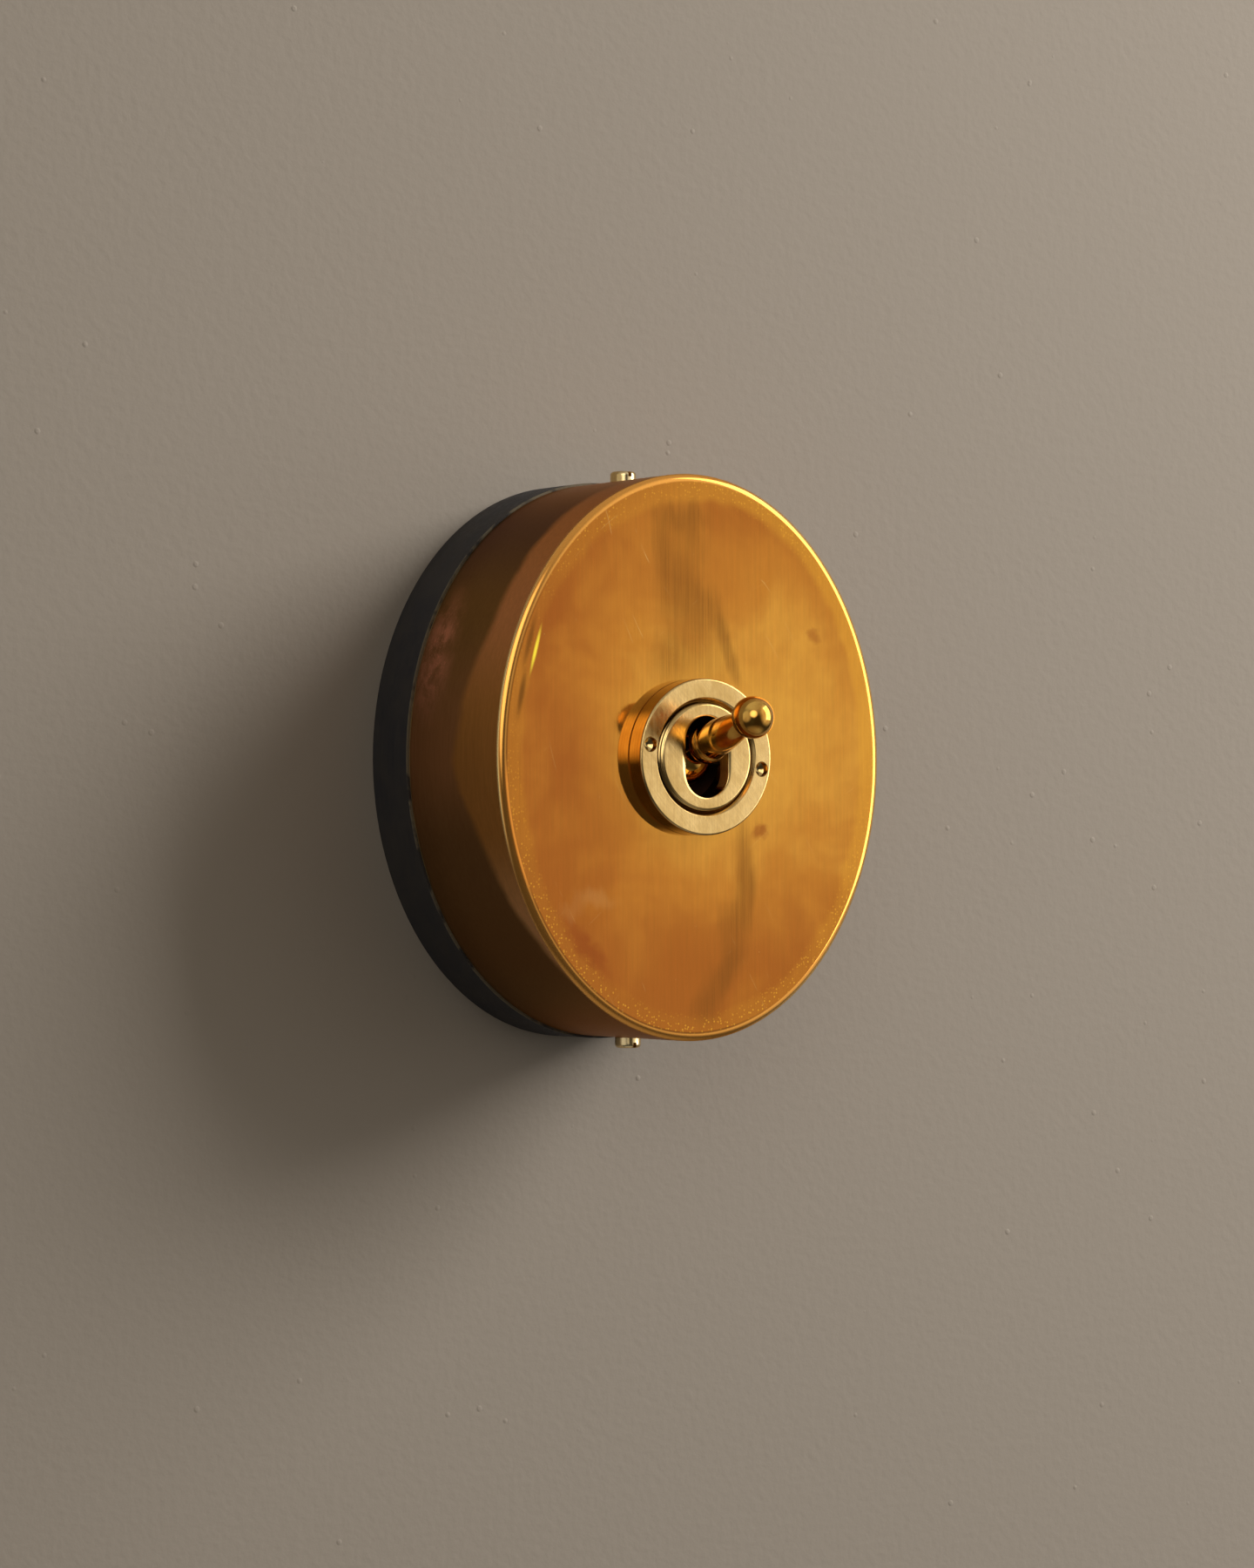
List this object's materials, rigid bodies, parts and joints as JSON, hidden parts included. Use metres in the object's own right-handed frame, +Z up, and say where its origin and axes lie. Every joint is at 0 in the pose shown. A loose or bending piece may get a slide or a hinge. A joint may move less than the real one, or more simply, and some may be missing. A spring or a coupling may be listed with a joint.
{
  "type": "wall toggle switch",
  "caption": "Surface-mounted wall switch: a deep oval brass cover on a black back box, with a ball-tipped dolly lever in a slotted bush held by a ring nut.",
  "frame": {"origin": "centre of the back box's rear face, on the wall", "axes": "+Y into the wall, +Z up, the front faces -Y, +X to the right seen from the front"},
  "size_m": [0.0812, 0.0651, 0.1038],
  "materials": {
    "aged_brass": "polished, aged amber with brush lines and stains",
    "brushed_brass": "turned, satin",
    "polished_brass": "polished",
    "screw_brass": "pale polished",
    "inner_brass": "plain stamped and turned",
    "black_moulding": "satin black",
    "brown_moulding": "moulded phenolic",
    "contact_silver": "silver alloy",
    "spring_steel": "drawn wire",
    "pale_nylon": "natural nylon",
    "zinc_steel": "plated"
  },
  "bodies": {
    "housing": {"cover": "aged_brass", "base_box": "black_moulding", "cover_screws": "screw_brass", "thread_inserts": "inner_brass", "lock_ring": "brushed_brass", "threaded_bush": "brushed_brass", "switch_housing": "brown_moulding", "housing_back": "brown_moulding", "housing_screws": "zinc_steel", "rocker_pin": "zinc_steel", "common_terminal": "inner_brass", "upper_terminal": "inner_brass", "lower_terminal": "inner_brass", "fixed_contacts": "contact_silver", "terminal_screws": "zinc_steel", "earth_tag": "inner_brass", "earth_screw": "inner_brass", "earth_nut": "inner_brass"},
    "lever": {"dolly_lever": "polished_brass", "pivot_pin": "zinc_steel", "plunger_spring": "spring_steel"},
    "plunger": {"plunger": "pale_nylon"},
    "rocker": {"rocker": "inner_brass", "rocker_contacts": "contact_silver"}
  },
  "joints": [
    {"name": "dolly_swing", "type": "hinge", "parent": "housing", "child": "lever", "pos_m": [0, -0.0393, 0], "axis": [1, 0, 0], "range_deg": [0, 33]},
    {"name": "plunger_slide", "type": "slide", "parent": "lever", "child": "plunger", "axis": [0, 0.9588, -0.284], "range_m": [0, 0.0005], "stiffness_N_per_m": 2000, "springref_m": 0.0005},
    {"name": "rocker_tilt", "type": "hinge", "parent": "housing", "child": "rocker", "pos_m": [0, -0.0236, 0], "axis": [1, 0, 0], "range_deg": [-14, 0]}
  ],
  "couplings": [
    {"joint": "rocker_tilt", "follows": "dolly_swing", "ratio": -0.42424}
  ]
}
